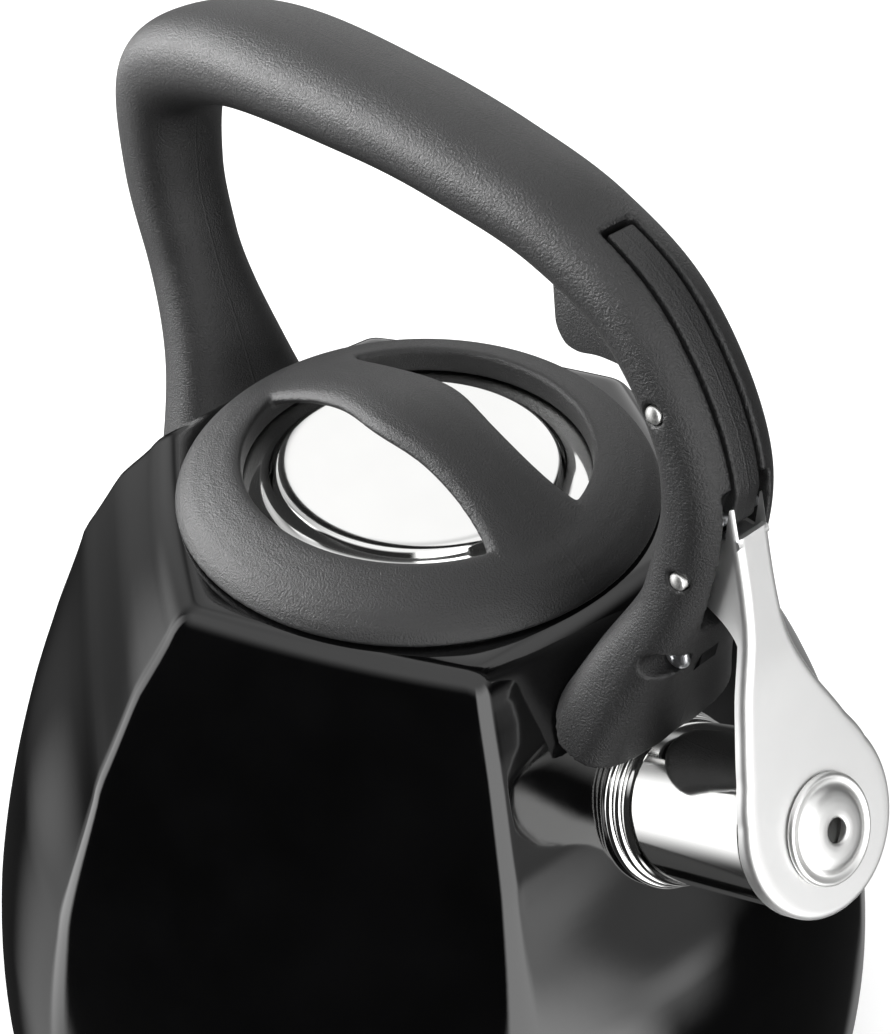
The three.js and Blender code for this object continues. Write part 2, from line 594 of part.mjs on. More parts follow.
const finish = (color, roughness, metalness) => () => (
  new THREE.MeshStandardMaterial({ color, roughness, metalness }));
const enamel = finish(0x0a0a0b, 0.12, 0);
const phenolic = finish(0x2c2c2e, 0.55, 0);
const mirrorSteel = finish(0xe6e6e4, 0.08, 1);
const satinSteel = finish(0xd2d2d0, 0.3, 1);
const zincSteel = finish(0xbfc1c4, 0.35, 1);

const PARTS = [
  ['body_shell', bodyShell, enamel],
  ['base_pan', basePan, enamel],
  ['spout_tube', spoutTube, mirrorSteel],
  ['spout_collar', spoutCollar, mirrorSteel],
  ['lid_ring', lidRing, phenolic],
  ['lid_pan', lidPan, mirrorSteel],
  ['lid_screw_front', () => lidScrew(LID_SCREW_X), zincSteel],
  ['lid_screw_rear', () => lidScrew(-LID_SCREW_X), zincSteel],
  ['handle', handle, phenolic],
  ['front_bracket', () => bracket(FRONT_TAB, FRONT_SCREW, 1), zincSteel],
  ['rear_bracket', () => bracket(REAR_TAB, REAR_SCREW, -1), zincSteel],
  ['front_foot_screw', () => footScrew(FRONT_SCREW, -1), zincSteel],
  ['rear_foot_screw', () => footScrew(REAR_SCREW, 1), zincSteel],
  ['trigger_lever', triggerLever, phenolic],
  ['trigger_pin', () => pin(TRIGGER_PIVOT), mirrorSteel],
  ['link_pin', linkPin, zincSteel],
  ['cover_arm', coverArm, satinSteel],
  ['cover_pin', () => pin(COVER_PIVOT), mirrorSteel],
  ['cover_spring', coverSpring, zincSteel],
  ['whistle_front', whistleFront, mirrorSteel],
  ['whistle_barrel', whistleBarrel, satinSteel],
  ['whistle_back', whistleBack, satinSteel],
  ['spout_seal', spoutSeal, satinSteel],
];

const kettle = new THREE.Group();
for (const [name, build, material] of PARTS) {
  const mesh = new THREE.Mesh(geometryOf(build()), material());
  mesh.name = name;
  kettle.add(mesh);
}

export default kettle;
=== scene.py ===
"""Looks of a stovetop whistling kettle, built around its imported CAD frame.

Shapes are worked out in millimetres in the frame's axes: +Z up, +X towards the spout, the origin in
the middle of the base. Meshes are made in metres. A turned profile is a list of (radius, height).
"""

import math

import bpy
import numpy as np
from mathutils import Matrix, Vector


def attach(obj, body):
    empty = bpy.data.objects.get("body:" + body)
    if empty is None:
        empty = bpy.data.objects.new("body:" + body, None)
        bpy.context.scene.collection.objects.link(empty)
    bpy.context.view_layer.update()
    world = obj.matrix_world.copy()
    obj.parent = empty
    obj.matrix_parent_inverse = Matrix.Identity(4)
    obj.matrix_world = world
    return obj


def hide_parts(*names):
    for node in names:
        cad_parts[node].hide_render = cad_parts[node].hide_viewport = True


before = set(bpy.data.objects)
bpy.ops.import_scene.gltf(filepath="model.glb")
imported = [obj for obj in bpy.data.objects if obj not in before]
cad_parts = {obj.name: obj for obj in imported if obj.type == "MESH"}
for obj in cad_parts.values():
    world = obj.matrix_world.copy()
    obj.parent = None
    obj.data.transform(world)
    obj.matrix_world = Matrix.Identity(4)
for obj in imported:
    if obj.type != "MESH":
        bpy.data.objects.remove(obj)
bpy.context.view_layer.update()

MM = 0.001

# ---- Driving dimensions, as in the CAD ------------------------------------------------------------

RIM = 160.0
GAP = 0.3
# Radius of the body's corners, and how far its section is a hexagon, by depth below the rim.
CORNER_PROFILE = [(1.4, 56.4), (14, 67.3), (30, 78), (60, 90.6), (95, 98.6), (130, 101.8), (146, 100)]
HEXNESS_PROFILE = [(1.4, 0.8), (20, 0.97), (36, 0.9), (60, 0.42), (95, 0.16), (146, 0)]
CORNER_FILLET = 0.06
BODY_WALL = 1.2
WALL_BOTTOM = 146
EDGE_TOP = 1.4
OPENING_RADIUS = 41.6
NECK_DEPTH = 7
TOP_DEPTH = 0.7
LIP_RADIUS = 87.5
LIP_HEIGHT = 1.5

SPOUT_ANGLE = math.radians(31)
WHISTLE = np.array([101.4, 0, RIM - 13.9])
TUBE_RADIUS = 14.4
TUBE_WALL = 0.8
TUBE_FRONT = 3.6
TUBE_BACK = 42
COLLAR_FRONT = 32.2
COLLAR_BACK = 37.4
COLLAR_RADII = (16.4, 15.8, 15.3)

LID_RADIUS = 47
WINDOW_RADIUS = 33.6
SKIRT_RADIUS = 41.2
SKIRT_DEPTH = 9
BRIM_HEIGHT = 2.4
PAN_WALL = 0.8
BRIDGE_TOP = 19.2
BRIDGE_THICKNESS = 4.2

# The handle's middle line as (x, height above the rim), and its half sizes by share of its length.
HANDLE_LINE = [
    (-60.5, -20), (-64.5, -1.4), (-72.6, 23), (-75.6, 40), (-70.7, 61), (-46.2, 72.5), (-4.2, 75.6),
    (20, 74.5), (40.4, 71.3), (58, 63), (71.7, 42.3), (70.3, 19.3), (64, 0.5), (60, -14),
]
HALF_DEPTHS = [(0, 8.4), (0.34, 9), (0.58, 6.8), (0.72, 6.2), (0.9, 6.5), (1, 7.6)]
HALF_WIDTHS = [(0, 9.8), (0.2, 10), (0.4, 13), (0.58, 11.2), (0.72, 9.6), (1, 9.8)]
FOOT_WIDTH = 19.5
FOOT_LENGTH = 0.15
FOOT_GROWTH = 1.6
# The inner face is this much thicker than the CAD's beside the arm's well, where the CAD is thin.
WELL_BACKING = 0.9
SLOT_FROM, LEVER_TO = 0.681, 0.812

FRONT_SCREW = (71.8, 7.8)
REAR_SCREW = (-67.5, 7)
SCREW_RADIUS = 1.4
SCREW_HEAD = 2.5
SCREW_SEAT = 4.8

TRIGGER_PIVOT = (65.8, 54.2)
COVER_PIVOT = (73.2, 26.6)
LINK = (75.8, 37.2)
PIN_RADIUS = 1.5
PIN_REACH = 9.9
LEVER_WIDTH = 5.4
SLOT_WIDTH = 6.8
NOTCH_WIDTH = 10.4
ARM_SHEET = 0.7
LINK_RADIUS = 1
WHISTLE_RADIUS = 7.4
SOUND_HOLE = 2.1

MOULD_VOXEL = 0.42


# ---- Curves ----------------------------------------------------------------------------------------

def catmull_rom(a, b, c, d, share):
    """A point between b and c on the uniform curve through a, b, c and d."""
    speed_b, speed_c = (c - a) / 2, (d - b) / 2
    cube = 2 * b - 2 * c + speed_b + speed_c
    square = -3 * b + 3 * c - 2 * speed_b - speed_c
    return ((cube * share + square) * share + speed_b) * share + b


def value_at(pairs, position):
    """Value of a profile of (position, value) pairs at a position, smoothly joined."""
    last = len(pairs) - 1
    if position <= pairs[0][0]:
        return pairs[0][1]
    if position >= pairs[last][0]:
        return pairs[last][1]
    i = next(k for k, (p, _) in enumerate(pairs) if p > position) - 1
    share = (position - pairs[i][0]) / (pairs[i + 1][0] - pairs[i][0])
    a, b, c, d = (pairs[min(max(k, 0), last)][1] for k in (i - 1, i, i + 1, i + 2))
    return catmull_rom(a, b, c, d, share)


def smoothstep(x, low, high):
    t = min(max((x - low) / (high - low), 0), 1)
    return t * t * (3 - 2 * t)


def centripetal(points, per_segment=60):
    """Points along the centripetal curve through the given ones."""
    p = np.array(points, float)
    p = np.vstack([2 * p[0] - p[1], p, 2 * p[-1] - p[-2]])
    made = []
    for i in range(1, len(p) - 2):
        a, b, c, d = p[i - 1:i + 3]
        t0, t1, t2 = (np.linalg.norm(v) ** 0.5 for v in (b - a, c - b, d - c))
        start = ((b - a) / t0 - (c - a) / (t0 + t1) + (c - b) / t1) * t1
        end = ((c - b) / t1 - (d - b) / (t1 + t2) + (d - c) / t2) * t1
        s = np.arange(per_segment)[:, None] / per_segment
        cube, square = 2 * b - 2 * c + start + end, -3 * b + 3 * c - 2 * start - end
        made.append(cube * s ** 3 + square * s ** 2 + start * s + b)
    return np.vstack([*made, p[-2:-1]])


HANDLE_POINTS = centripetal([(x, RIM + z) for x, z in HANDLE_LINE])
HANDLE_LENGTHS = np.r_[0, np.cumsum(np.linalg.norm(np.diff(HANDLE_POINTS, axis=0), axis=1))]
HANDLE_TANGENTS = np.gradient(HANDLE_POINTS, HANDLE_LENGTHS, axis=0)


def handle_at(u):
    """Centre and unit tangent of the handle, as (x, z), at a share u of its length."""
    length = u * HANDLE_LENGTHS[-1]
    centre = np.array([np.interp(length, HANDLE_LENGTHS, HANDLE_POINTS[:, k]) for k in (0, 1)])
    tangent = np.array([np.interp(length, HANDLE_LENGTHS, HANDLE_TANGENTS[:, k]) for k in (0, 1)])
    return centre, tangent / np.linalg.norm(tangent)


def outer_face(start, end, inset, steps):
    """Points along the handle's outer face, pushed in by an inset, as (x, z)."""
    points = []
    for i in range(steps + 1):
        u = start + (end - start) * i / steps
        centre, tangent = handle_at(u)
        reach = value_at(HALF_DEPTHS, u) - inset
        points.append((centre[0] - tangent[1] * reach, centre[1] + tangent[0] * reach))
    return points


def raised(outline):
    """An outline of (x, height above the rim) as (x, z)."""
    return [(x, RIM + z) for x, z in outline]


def filleted(profile, radius, steps=4, closed=True):
    """A polyline with each corner rounded, by no more than its sides allow."""
    p = [np.array(q, float) for q in profile]
    count = len(p)
    rounded = []
    for i, corner in enumerate(p):
        if not closed and i in (0, count - 1):
            rounded.append(corner)
            continue
        before, after = p[i - 1] - corner, p[(i + 1) % count] - corner
        reach = min(radius, 0.45 * np.linalg.norm(before), 0.45 * np.linalg.norm(after))
        start = corner + before / np.linalg.norm(before) * reach
        end = corner + after / np.linalg.norm(after) * reach
        for k in range(steps + 1):
            t = k / steps
            rounded.append((1 - t) ** 2 * start + 2 * t * (1 - t) * corner + t ** 2 * end)
    return rounded


# ---- Mesh helpers ----------------------------------------------------------------------------------

# Turns +Z to the way the spout points, and carries the origin to the whistle's middle.
ALONG_SPOUT = Matrix.Translation(Vector(WHISTLE)) @ Matrix.Rotation(math.pi / 2 - SPOUT_ANGLE, 4, "Y")


def across(at, side=1):
    """Turns +Z to +Y, or to -Y for side -1, and carries the origin to (x, height above the rim)."""
    return Matrix.Translation((at[0], 0, RIM + at[1])) @ Matrix.Rotation(-side * math.pi / 2, 4, "X")


def mesh_object(name, points, faces, matrix=None, sharp=35):
    """A shaded mesh from points in millimetres."""
    mesh = bpy.data.meshes.new(name)
    at = np.array(points, float)
    if matrix is not None:
        m = np.array(matrix, float)
        at = at @ m[:3, :3].T + m[:3, 3]
    mesh.from_pydata((at * MM).tolist(), [], faces)
    mesh.validate()
    obj = bpy.data.objects.new(name, mesh)
    bpy.context.scene.collection.objects.link(obj)
    outwards(obj)
    smooth(obj, sharp)
    return obj


def smooth(obj, sharp=35):
    """Shades an object smoothly, but for edges that turn by more than an angle."""
    mesh = obj.data
    mesh.polygons.foreach_set("use_smooth", [True] * len(mesh.polygons))
    mesh.set_sharp_from_angle(angle=math.radians(sharp))


def outwards(obj):
    """Turns the faces of a closed mesh outwards, judged by its volume."""
    mesh = obj.data
    mesh.calc_loop_triangles()
    co = np.array([v.co for v in mesh.vertices])
    tri = np.array([t.vertices for t in mesh.loop_triangles])
    volume = np.einsum("ij,ij->", co[tri[:, 0]], np.cross(co[tri[:, 1]], co[tri[:, 2]]))
    if volume < 0:
        mesh.flip_normals()


def loft(name, rings, closed=False, **more):
    """A skin over equal rings of points, with the last joined to the first, or with capped ends."""
    count = len(rings[0])
    faces = []
    for i in range(len(rings) if closed else len(rings) - 1):
        low, high = i * count, (i + 1) % len(rings) * count
        for j in range(count):
            k = (j + 1) % count
            faces.append((low + j, low + k, high + k, high + j))
    if not closed:
        faces += [tuple(range(count))[::-1], tuple(range((len(rings) - 1) * count, len(rings) * count))]
    return mesh_object(name, [p for ring in rings for p in ring], faces, **more)


def turned(name, profile, sides, matrix=None, sharp=35):
    """A profile turned about +Z. One that touches the axis at both ends is closed by fans."""
    profile = [tuple(p) for p in profile]
    on_axis = abs(profile[0][0]) < 1e-6 and abs(profile[-1][0]) < 1e-6
    body = profile[1:-1] if on_axis else profile
    points, faces = [], []
    for r, z in body:
        points += [(r * math.cos(a), r * math.sin(a), z) for a in np.arange(sides) * 2 * math.pi / sides]
    bands = len(body) - 1 if on_axis else len(body)
    for i in range(bands):
        low, high = i * sides, (i + 1) % len(body) * sides
        for j in range(sides):
            k = (j + 1) % sides
            faces.append((low + j, low + k, high + k, high + j))
    if on_axis:
        first, last = len(points), len(points) + 1
        points += [(0, 0, profile[0][1]), (0, 0, profile[-1][1])]
        top = (len(body) - 1) * sides
        for j in range(sides):
            k = (j + 1) % sides
            faces += [(k, j, first), (top + j, top + k, last)]
    return mesh_object(name, points, faces, matrix=matrix, sharp=sharp)


def slab(name, outline, width, **more):
    """An outline of (x, z) given thickness along Y."""
    count = len(outline)
    points = [(x, y, z) for y in (-width / 2, width / 2) for x, z in outline]
    faces = [(i, (i + 1) % count, count + (i + 1) % count, count + i) for i in range(count)]
    faces += [tuple(range(count))[::-1], tuple(range(count, 2 * count))]
    return mesh_object(name, points, faces, **more)


def rod(name, radius, low, high, matrix=None, sides=48):
    """A closed cylinder between two heights."""
    return turned(name, [(0, low), (radius, low), (radius, high), (0, high)], sides, matrix)


def applied(obj):
    """The object with its modifiers made part of its mesh."""
    bpy.context.view_layer.update()
    evaluated = obj.evaluated_get(bpy.context.evaluated_depsgraph_get())
    mesh = bpy.data.meshes.new_from_object(evaluated)
    obj.modifiers.clear()
    obj.data = mesh
    return obj


def cut(obj, cutters, operation="DIFFERENCE"):
    """Cuts the cutters away from an object, or joins them to it, and removes them."""
    for cutter in cutters:
        modifier = obj.modifiers.new("cut", "BOOLEAN")
        modifier.operation = operation
        modifier.solver = "EXACT"
        modifier.object = cutter
        applied(obj)
        bpy.data.objects.remove(cutter)
    return obj


def moulded(obj, rounds):
    """Remeshes an object evenly and rounds its edges, as a moulding's are."""
    remesh = obj.modifiers.new("remesh", "REMESH")
    remesh.mode = "VOXEL"
    remesh.voxel_size = MOULD_VOXEL * MM
    remesh.use_smooth_shade = True
    even = obj.modifiers.new("even", "SMOOTH")
    even.factor = 0.5
    even.iterations = rounds
    applied(obj)
    smooth(obj, 60)
    return obj


def bevelled(obj, width):
    """Rounds the edges of an object that turn by more than 60 degrees."""
    bevel = obj.modifiers.new("bevel", "BEVEL")
    bevel.width = width * MM
    bevel.segments = 3
    bevel.limit_method = "ANGLE"
    bevel.angle_limit = math.radians(60)
    applied(obj)
    smooth(obj, 45)


def finished(obj, body, material, slot, *nodes):
    """Puts a piece on its body in place of its CAD nodes, in its finish."""
    obj.data.materials.clear()
    obj.data.materials.append(material)
    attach(obj, body)
    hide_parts(*nodes)


# ---- Materials -------------------------------------------------------------------------------------

class Nodes:
    """A material's node tree, with its shader, for short recipes."""

    def __init__(self, name):
        self.material = bpy.data.materials.new(name)
        self.material.use_nodes = True
        self.tree = self.material.node_tree
        self.shader = self.tree.nodes["Principled BSDF"]
        self.place = self.add("ShaderNodeTexCoord").outputs["Object"]

    def add(self, kind, **settings):
        """A new node, with each setting made as a property or as the value of an input."""
        node = self.tree.nodes.new(kind)
        for key, value in settings.items():
            if hasattr(node, key):
                setattr(node, key, value)
            else:
                node.inputs[key.replace("_", " ").title()].default_value = value
        return node

    def link(self, source, target):
        self.tree.links.new(source, target)

    def noise(self, scale, detail=4.0, roughness=0.5, place=None):
        node = self.add("ShaderNodeTexNoise", scale=scale, detail=detail, roughness=roughness)
        self.link(place or self.place, node.inputs["Vector"])
        return node.outputs["Fac"]

    def ramp(self, source, low, high, start=0.3, end=0.7):
        """Turns a 0 to 1 signal into a colour or number between two others."""
        node = self.add("ShaderNodeValToRGB")
        for element, at, value in zip(node.color_ramp.elements, (start, end), (low, high)):
            element.position = at
            element.color = (*value, 1) if isinstance(value, tuple) else (value, value, value, 1)
        self.link(source, node.inputs["Fac"])
        return node.outputs["Color"]

    def bump(self, height, strength, distance, before=None):
        node = self.add("ShaderNodeBump", strength=strength, distance=distance * MM)
        self.link(height, node.inputs["Height"])
        if before is not None:
            self.link(before, node.inputs["Normal"])
        return node.outputs["Normal"]

    def feed(self, name, source):
        self.link(source, self.shader.inputs[name])

    def fix(self, **values):
        """Sets shader sockets that are the same all over the surface."""
        for key, value in values.items():
            self.shader.inputs[key.replace("_", " ")].default_value = value


def enamel():
    """Black glass enamel: a deep gloss with a faint orange peel, pinholes and light wear."""
    n = Nodes("black_enamel")
    n.feed("Base Color", n.ramp(n.noise(60), (0.001, 0.001, 0.0011), (0.0022, 0.0022, 0.0024)))
    n.feed("Roughness", n.ramp(n.noise(35, 6, 0.6), 0.06, 0.1))
    peel = n.bump(n.noise(420, 2), 0.12, 0.05)
    n.feed("Normal", n.bump(n.noise(45, 2), 0.1, 0.25, peel))
    n.fix(Coat_Weight=0.4, Coat_Roughness=0.04)
    return n.material


def phenolic():
    """Matte moulded plastic with a fine spark-eroded texture and a parting line along its middle."""
    line_width = 0.35
    n = Nodes("black_phenolic")
    grain = n.noise(2600, 3, 0.65)
    cloud = n.noise(38, 5)
    n.feed("Base Color", n.ramp(cloud, (0.008, 0.008, 0.0083), (0.013, 0.013, 0.0134)))
    n.feed("Roughness", n.ramp(grain, 0.36, 0.5))
    split = n.add("ShaderNodeSeparateXYZ")
    n.link(n.place, split.inputs[0])
    distance = n.add("ShaderNodeMath", operation="ABSOLUTE")
    n.link(split.outputs["Y"], distance.inputs[0])
    wide = n.add("ShaderNodeMath", operation="MULTIPLY")
    n.link(distance.outputs[0], wide.inputs[0])
    wide.inputs[1].default_value = 1 / (line_width * MM)
    line = n.ramp(wide.outputs[0], 1.0, 0.0, 0.1, 0.9)
    n.feed("Normal", n.bump(grain, 0.9, 0.25, n.bump(line, 0.5, 0.1)))
    n.fix(Specular_IOR_Level=0.6)
    return n.material


def steel(name, shade, low, high, grain_scale, bump, brushed=None):
    """Stainless steel whose gloss runs between two roughnesses; brushed stretches its grain."""
    n = Nodes(name)
    n.fix(Metallic=1)
    place = n.place
    if brushed is not None:
        stretch = n.add("ShaderNodeMapping")
        stretch.inputs["Scale"].default_value = brushed
        n.link(place, stretch.inputs["Vector"])
        place = stretch.outputs["Vector"]
    grain = n.noise(grain_scale, 5, 0.6, place)
    n.feed("Base Color", n.ramp(n.noise(30), tuple(v * 0.94 for v in shade), shade))
    n.feed("Roughness", n.ramp(grain, low, high))
    n.feed("Normal", n.bump(grain, bump, 0.02))
    return n.material


def silicone():
    """Black rubber with a dull, slightly uneven skin."""
    n = Nodes("black_silicone")
    n.feed("Base Color", n.ramp(n.noise(80), (0.02, 0.02, 0.02), (0.03, 0.03, 0.03)))
    n.feed("Roughness", n.ramp(n.noise(900), 0.5, 0.65))
    n.feed("Normal", n.bump(n.noise(1500, 2), 0.2, 0.05))
    return n.material


ENAMEL = enamel()
PHENOLIC = phenolic()
# Each steel is its colour, its two roughnesses, the scale of its grain and the strength of its bump.
MIRROR = steel("polished_steel", (0.86, 0.86, 0.85), 0.06, 0.11, 220, 0.03)
SATIN = steel("satin_steel", (0.86, 0.86, 0.855), 0.44, 0.5, 500, 0.02, brushed=(4, 4, 0.35))
SPUN = steel("spun_steel", (0.84, 0.84, 0.83), 0.36, 0.42, 500, 0.02)
NICKEL = steel("nickel_plate", (0.9, 0.9, 0.88), 0.4, 0.5, 500, 0.05)
BLACKED = steel("blacked_steel", (0.05, 0.05, 0.052), 0.45, 0.6, 500, 0.2)
ZINC = steel("zinc_plate", (0.68, 0.69, 0.71), 0.28, 0.42, 500, 0.2)
SILICONE = silicone()

# ---- Body ------------------------------------------------------------------------------------------


def hexagon_radius(angle):
    """Polar radius of a hexagon with unit corner radius and filleted corners at 30 degrees and on."""
    sector = math.pi / 3
    from_face = abs((angle + sector / 2) % sector - sector / 2)
    apothem = math.cos(sector / 2)
    centre = 1 - CORNER_FILLET / apothem
    tangent = math.atan2(centre * math.sin(sector / 2), apothem)
    if from_face < tangent:
        return apothem / math.cos(from_face)
    from_corner = from_face - sector / 2
    aside = centre * math.sin(from_corner)
    return centre * math.cos(from_corner) + math.sqrt(CORNER_FILLET ** 2 - aside ** 2)


def angles(sides):
    """Even turns of a circle, in radians."""
    return [i / sides * math.pi * 2 for i in range(sides)]


def body_radii(depth, sides):
    """The body's radii at a depth below the rim, one for each angle."""
    hexness, corner = value_at(HEXNESS_PROFILE, depth), value_at(CORNER_PROFILE, depth)
    return np.array([corner * (1 - hexness * (1 - hexagon_radius(a))) for a in angles(sides)])


def level(depth, radii, sides):
    """A ring of points at a depth below the rim, with one radius or one for each angle."""
    radii = np.broadcast_to(radii, sides)
    return [(r * math.cos(a), r * math.sin(a), RIM - depth) for r, a in zip(radii, angles(sides))]


def grown_body():
    """The solid upper part of the body, grown by the gap."""
    sides = 120
    depths = [1.4, 4, 7, 11, 15, 20, 25, 30, 36, 42, 50, 60, 74]
    rings = [level(TOP_DEPTH - GAP, body_radii(EDGE_TOP, sides) - 1.2 + GAP, sides)]
    rings += [level(d, body_radii(d, sides) + 1.3 * GAP, sides) for d in depths]
    return loft("grown_body", rings)


def body_shell():
    """A skin up the outside, over the shoulder, down the neck and back down the inside."""
    sides, shoulder_end = 480, 5
    depths = np.r_[np.arange(6, 100, 2.5), np.arange(101, WALL_BOTTOM, 5), WALL_BOTTOM]
    top, end = body_radii(EDGE_TOP, sides), body_radii(shoulder_end, sides)
    start, corner = top - 4.4, top - 0.7
    shoulder = []
    for t in np.linspace(0, 1, 9):
        radii = (1 - t) ** 2 * start + 2 * t * (1 - t) * corner + t ** 2 * end
        depth = (1 - t) ** 2 * TOP_DEPTH + 2 * t * (1 - t) * TOP_DEPTH + t ** 2 * shoulder_end
        shoulder.append(level(depth, radii, sides))
    foot_depth, reach = RIM - LIP_HEIGHT - WALL_BOTTOM, CORNER_PROFILE[-1][1] - LIP_RADIUS

    def chine(inset):
        """The rounded turn from the wall to the lip."""
        rings = []
        for t in range(10, 90, 10):
            down, out = math.sin(math.radians(t)), math.cos(math.radians(t))
            radius = LIP_RADIUS + (reach - inset) * out
            rings.append(level(WALL_BOTTOM + (foot_depth - inset) * down, radius, sides))
        return rings

    neck = [(OPENING_RADIUS + 2.2, TOP_DEPTH), (OPENING_RADIUS + 0.9, TOP_DEPTH + 0.25),
            (OPENING_RADIUS + 0.2, TOP_DEPTH + 0.9), (OPENING_RADIUS, TOP_DEPTH + 2),
            (OPENING_RADIUS, NECK_DEPTH), (OPENING_RADIUS + BODY_WALL, NECK_DEPTH),
            (OPENING_RADIUS + BODY_WALL, TOP_DEPTH + BODY_WALL)]
    rings = [level(RIM - LIP_HEIGHT, LIP_RADIUS, sides), *chine(0)[::-1]]
    rings += [level(d, body_radii(d, sides), sides) for d in depths[::-1]]
    rings += shoulder[::-1] + [level(depth, radius, sides) for radius, depth in neck]
    rings.append(level(TOP_DEPTH + BODY_WALL, top - 5, sides))
    inside = (5, 14, 30, 42, 56, 74, 95, 120, WALL_BOTTOM)
    rings += [level(d + 0.6, body_radii(d, sides) - BODY_WALL, sides) for d in inside]
    rings += chine(BODY_WALL) + [level(RIM - LIP_HEIGHT - BODY_WALL, LIP_RADIUS, sides)]
    shell = loft("kettle_body", rings, closed=True, sharp=50)
    return cut(shell, [rod("bore", TUBE_RADIUS + GAP, -60, -20, ALONG_SPOUT, 96)])


def base_pan():
    """A flat plate with an upturned edge, inside the body's lip."""
    edge = LIP_RADIUS - GAP
    profile = [(edge - 4, 0), (edge, 1.6), (edge, 8), (edge - 1.2, 8), (edge - 1.2, 2.6), (edge - 4.6, 1.2)]
    rim = filleted([(0, 0), *profile, (0, 1.2)], 1.0, closed=False)
    return turned("base_pan_skin", rim, 192)


finished(body_shell(), "kettle", ENAMEL, "enamel", "body_shell")
finished(base_pan(), "kettle", ENAMEL, "enamel", "base_pan")

# ---- Spout -----------------------------------------------------------------------------------------


def spout_tube():
    """A tube with a rolled lip."""
    bore, lip = TUBE_RADIUS - TUBE_WALL, TUBE_RADIUS + 0.7
    profile = [(TUBE_RADIUS, -TUBE_BACK), (TUBE_RADIUS, -TUBE_FRONT - 2.2), (lip, -TUBE_FRONT - 1),
               (lip, -TUBE_FRONT - 0.2), (TUBE_RADIUS, -TUBE_FRONT), (bore, -TUBE_FRONT - 0.6),
               (bore, -TUBE_BACK)]
    return turned("spout_pipe", filleted(profile, 0.5), 128, ALONG_SPOUT)


def spout_collar():
    """Three rounded beads, the widest against the body."""
    inner, length = TUBE_RADIUS + GAP, (COLLAR_BACK - COLLAR_FRONT) / 3
    profile = [(inner, -COLLAR_BACK)]
    for i, radius in enumerate(COLLAR_RADII):
        for k in range(9):
            rise = math.sin(math.pi * (0.06 + 0.88 * k / 8)) ** 0.7
            profile.append((radius - 0.75 * (1 - rise), -COLLAR_BACK + length * (i + k / 8.6)))
    profile.append((inner, -COLLAR_FRONT))
    return cut(turned("spout_beads", profile, 128, ALONG_SPOUT, 60), [grown_body()])


finished(spout_tube(), "kettle", MIRROR, "mirror_steel", "spout_tube")
finished(spout_collar(), "kettle", MIRROR, "mirror_steel", "spout_collar")

# ---- Lid -------------------------------------------------------------------------------------------


def lid_pan():
    """A nearly flat plateau with a rounded step down to the brim, and a skirt below it."""
    wall = SKIRT_RADIUS - PAN_WALL
    dome = [(0, 5.6), (8, 5.59), (16, 5.56), (22, 5.5), (26.2, 5.4), (27.2, 5.1), (27.9, 4.3), (28.6, 3.4),
            (29.4, 2.8), (30.4, 2.5), (31, 2.45)]
    line = centripetal(dome, 5).tolist()
    inside = [(r, z - PAN_WALL) for r, z in line][::-1]
    foot_radius, foot_height = dome[-1]
    rim = filleted([
        (foot_radius, foot_height), (SKIRT_RADIUS, BRIM_HEIGHT), (SKIRT_RADIUS, -SKIRT_DEPTH),
        (wall, -SKIRT_DEPTH), (wall, BRIM_HEIGHT - PAN_WALL), (foot_radius, foot_height - PAN_WALL),
    ], 1.0, closed=False)
    profile = line[:-1] + rim + inside[1:]
    return turned("lid_steel", [(r, RIM + z) for r, z in profile], 160)


def bridge_height(x):
    """Height of the bridge's top above the rim, where it is x along its span."""
    ends = 5.4
    return ends + (BRIDGE_TOP - ends) * math.cos(x / 43 * math.pi / 2) ** 1.15


def bridge_half_width(x):
    """A waist on each side of a wider middle, and roots that spread into the ring."""
    return 8.4 + 1.6 * math.exp(-((x / 9) ** 2)) + 5 * (abs(x) / 36) ** 5


def lid_ring():
    """The ring and its bridge, joined with the fillets of one moulding."""
    floor = BRIM_HEIGHT + GAP
    profile = [(WINDOW_RADIUS, floor), (WINDOW_RADIUS, 7.6), (34.4, 8.3), (36.6, 7.9), (40, 6.6), (43.4, 4.7),
               (45.8, 2.4), (LID_RADIUS, 0.3), (LID_RADIUS - 0.4, -0.4), (42.4, -0.4),
               (SKIRT_RADIUS + GAP, floor)]
    ring = turned("lid_moulding", [(r, RIM + z) for r, z in filleted(profile, 0.8)], 192)
    rings = []
    for x in np.linspace(-38, 38, 77):
        top, half = bridge_height(x), bridge_half_width(x)
        under = max(top - BRIDGE_THICKNESS, floor if abs(x) > WINDOW_RADIUS - 1 else -9)
        section = [(-half, under + 1.2), (-half + 1.2, under), (half - 1.2, under), (half, under + 1.2),
                   (half, top - 2.6), (half - 1.4, top - 1.1), (half / 2, top - 0.3), (0, top),
                   (-half / 2, top - 0.3), (-half + 1.4, top - 1.1), (-half, top - 2.6)]
        rings.append([(x, y, RIM + z) for y, z in filleted(section, 0.9, 3)])
    return moulded(cut(ring, [loft("bridge", rings)], "UNION"), 5)


def lid_moulding():
    """The moulding as two pieces, its ring and its bridge, cut apart just inside the ring."""
    ring = lid_ring()
    bridge = bpy.data.objects.new("lid_bridge", ring.data.copy())
    bpy.context.scene.collection.objects.link(bridge)
    for piece, operation in ((ring, "DIFFERENCE"), (bridge, "INTERSECT")):
        cut(piece, [rod("window", WINDOW_RADIUS - 0.5, RIM - 20, RIM + 40, sides=128)], operation)
        smooth(piece, 60)
    return ring, bridge


finished(lid_pan(), "lid", MIRROR, "mirror_steel", "lid_pan")
for moulding in lid_moulding():
    finished(moulding, "lid", PHENOLIC, "phenolic", "lid_ring")

# ---- Handle ----------------------------------------------------------------------------------------


def foot_share(u):
    """How much of a foot the handle is, from 0 in the grip to 1 at its two ends."""
    return max(0, 1 - min(u, 1 - u) / FOOT_LENGTH) ** 1.7


